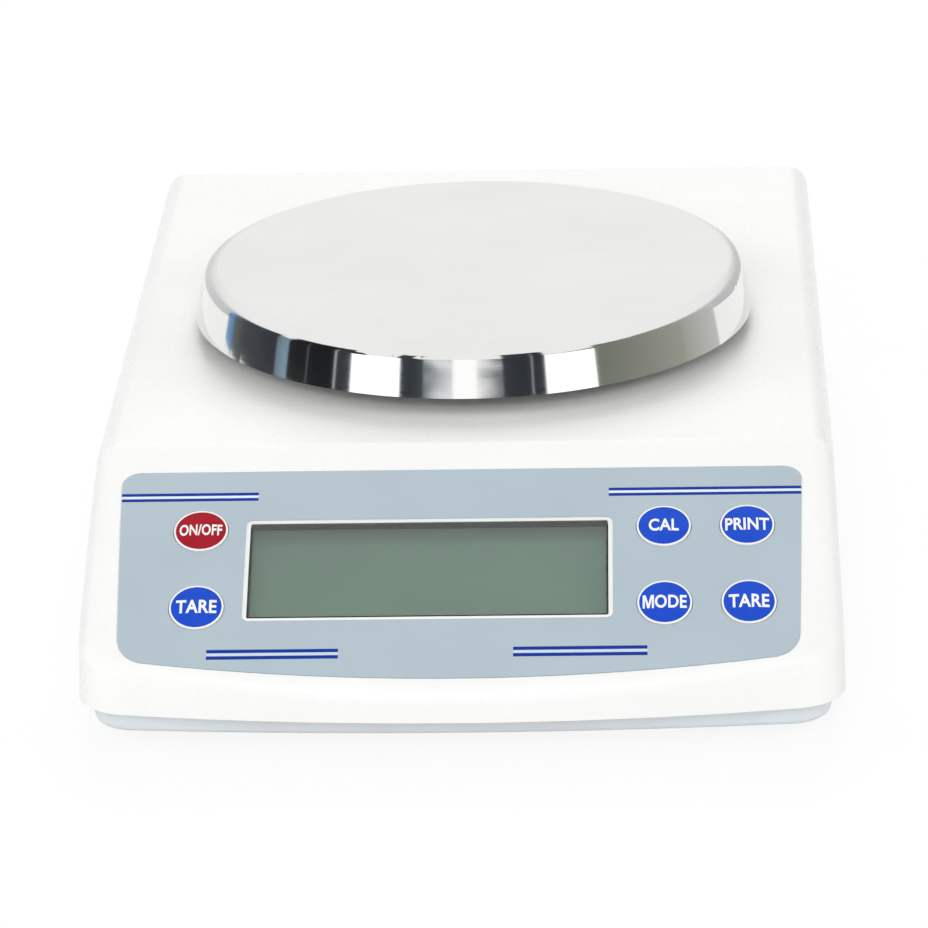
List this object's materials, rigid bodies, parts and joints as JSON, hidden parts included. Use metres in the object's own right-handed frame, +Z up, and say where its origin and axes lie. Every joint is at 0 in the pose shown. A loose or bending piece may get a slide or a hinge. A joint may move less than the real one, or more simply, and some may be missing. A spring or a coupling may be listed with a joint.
{
  "type": "electronic balance",
  "caption": "Top-loading electronic balance: round steel pan on a low moulded housing with a sloped display panel, keys and levelling feet.",
  "frame": {"origin": "on the table, under the middle of the housing", "axes": "+X to the user's right, +Y to the rear, +Z up"},
  "size_m": [0.203, 0.332, 0.0796],
  "materials": {
    "housing": "satin moulded white ABS",
    "tray": "moulded light grey ABS",
    "overlay": "printed satin polyester film",
    "window": "clear acrylic",
    "lcd": "liquid crystal glass with green grey ground",
    "lcd_frame": "moulded white ABS",
    "reflector": "diffusing film",
    "conductive_rubber": "silicone",
    "circuit_board": "green solder mask on glass epoxy",
    "gasket": "dark closed-cell foam",
    "chip": "moulded epoxy",
    "black_plastic": "moulded black nylon",
    "cable": "grey PVC",
    "tin": "tin plated steel",
    "screw": "zinc plated steel",
    "alloy": "milled aluminium",
    "stainless": "satin top and polished skirt, stainless steel",
    "rubber": "moulded rubber",
    "key_red": "moulded red ABS",
    "key_blue": "moulded blue ABS",
    "brass": "turned",
    "foot_plastic": "moulded black nylon",
    "vial": "clear acrylic",
    "level_liquid": "yellow green liquid",
    "contact": "plated"
  },
  "bodies": {
    "housing": {"top_cover": "housing", "base_tray": "tray", "panel_overlay": "overlay", "lcd_window": "window", "lcd_gasket": "gasket", "lcd_glass": "lcd", "lcd_holder": "lcd_frame", "lcd_reflector": "reflector", "lcd_contact_strips": "conductive_rubber", "display_board": "circuit_board", "display_board_screws": "screw", "key_switches": "black_plastic", "main_board": "circuit_board", "main_board_parts": "chip", "main_board_screws": "screw", "shield_can": "tin", "ribbon_cable": "cable", "load_cell_lead": "cable", "load_cell_mount": "alloy", "load_cell": "alloy", "load_cell_screws": "screw", "overload_stop": "screw", "level_bezel": "foot_plastic", "level_cup": "vial", "level_fluid": "level_liquid", "level_lens": "vial", "dc_jack": "black_plastic", "dc_jack_pin": "contact", "serial_shell": "tin", "serial_insulator": "black_plastic", "serial_legs": "contact", "serial_jackscrews": "screw", "cover_screws": "screw", "foot_inserts": "brass"},
    "pan_carrier": {"carrier_spacer": "alloy", "carrier_plate": "alloy", "carrier_screws": "screw", "carrier_post": "alloy", "pan_support": "alloy", "support_screw": "screw", "pan_cushions": "rubber"},
    "pan": {"weighing_pan": "stainless"},
    "key_on_off": {"key_on_off": "key_red"},
    "key_tare_left": {"key_tare_left": "key_blue"},
    "key_cal": {"key_cal": "key_blue"},
    "key_print": {"key_print": "key_blue"},
    "key_mode": {"key_mode": "key_blue"},
    "key_tare_right": {"key_tare_right": "key_blue"},
    "foot_nut_front_left": {"foot_pad_front_left": "rubber"},
    "foot_front_left": {"foot_wheel_front_left": "foot_plastic"},
    "foot_nut_front_right": {"foot_pad_front_right": "rubber"},
    "foot_front_right": {"foot_wheel_front_right": "foot_plastic"},
    "foot_nut_rear_left": {"foot_pad_rear_left": "rubber"},
    "foot_rear_left": {"foot_wheel_rear_left": "foot_plastic"},
    "foot_nut_rear_right": {"foot_pad_rear_right": "rubber"},
    "foot_rear_right": {"foot_wheel_rear_right": "foot_plastic"}
  },
  "joints": [
    {"name": "weighing", "type": "slide", "parent": "housing", "child": "pan_carrier", "axis": [0, 0, 1], "range_m": [-0.0004, 0], "stiffness_N_per_m": 75000, "springref_m": 0.00004, "deforming": ["load_cell"]},
    {"name": "pan_lift", "type": "slide", "parent": "pan_carrier", "child": "pan", "axis": [0, 0, 1], "range_m": [0, 0.04]},
    {"name": "key_on_off_press", "type": "slide", "parent": "housing", "child": "key_on_off", "axis": [0, 0.4313, -0.9022], "range_m": [0, 0.0005], "stiffness_N_per_m": 1500},
    {"name": "key_tare_left_press", "type": "slide", "parent": "housing", "child": "key_tare_left", "axis": [0, 0.4968, -0.8678], "range_m": [0, 0.0005], "stiffness_N_per_m": 1500},
    {"name": "key_cal_press", "type": "slide", "parent": "housing", "child": "key_cal", "axis": [0, 0.4313, -0.9022], "range_m": [0, 0.0005], "stiffness_N_per_m": 1500},
    {"name": "key_print_press", "type": "slide", "parent": "housing", "child": "key_print", "axis": [0, 0.4313, -0.9022], "range_m": [0, 0.0005], "stiffness_N_per_m": 1500},
    {"name": "key_mode_press", "type": "slide", "parent": "housing", "child": "key_mode", "axis": [0, 0.4968, -0.8678], "range_m": [0, 0.0005], "stiffness_N_per_m": 1500},
    {"name": "key_tare_right_press", "type": "slide", "parent": "housing", "child": "key_tare_right", "axis": [0, 0.4968, -0.8678], "range_m": [0, 0.0005], "stiffness_N_per_m": 1500},
    {"name": "foot_rise_front_left", "type": "slide", "parent": "housing", "child": "foot_nut_front_left", "axis": [0, 0, 1], "range_m": [-0.00302, 0.00302]},
    {"name": "foot_turn_front_left", "type": "hinge", "parent": "foot_nut_front_left", "child": "foot_front_left", "pos_m": [-0.078, -0.129, 0], "axis": [0, 0, 1], "range_deg": [-1080, 1080]},
    {"name": "foot_rise_front_right", "type": "slide", "parent": "housing", "child": "foot_nut_front_right", "axis": [0, 0, 1], "range_m": [-0.00302, 0.00302]},
    {"name": "foot_turn_front_right", "type": "hinge", "parent": "foot_nut_front_right", "child": "foot_front_right", "pos_m": [0.078, -0.129, 0], "axis": [0, 0, 1], "range_deg": [-1080, 1080]},
    {"name": "foot_rise_rear_left", "type": "slide", "parent": "housing", "child": "foot_nut_rear_left", "axis": [0, 0, 1], "range_m": [-0.00302, 0.00302]},
    {"name": "foot_turn_rear_left", "type": "hinge", "parent": "foot_nut_rear_left", "child": "foot_rear_left", "pos_m": [-0.078, 0.129, 0], "axis": [0, 0, 1], "range_deg": [-1080, 1080]},
    {"name": "foot_rise_rear_right", "type": "slide", "parent": "housing", "child": "foot_nut_rear_right", "axis": [0, 0, 1], "range_m": [-0.00302, 0.00302]},
    {"name": "foot_turn_rear_right", "type": "hinge", "parent": "foot_nut_rear_right", "child": "foot_rear_right", "pos_m": [0.078, 0.129, 0], "axis": [0, 0, 1], "range_deg": [-1080, 1080]}
  ],
  "couplings": [
    {"joint": "foot_rise_front_left", "follows": "foot_turn_front_left", "m_per_rad": 0.00015915},
    {"joint": "foot_rise_front_right", "follows": "foot_turn_front_right", "m_per_rad": 0.00015915},
    {"joint": "foot_rise_rear_left", "follows": "foot_turn_rear_left", "m_per_rad": 0.00015915},
    {"joint": "foot_rise_rear_right", "follows": "foot_turn_rear_right", "m_per_rad": 0.00015915}
  ]
}
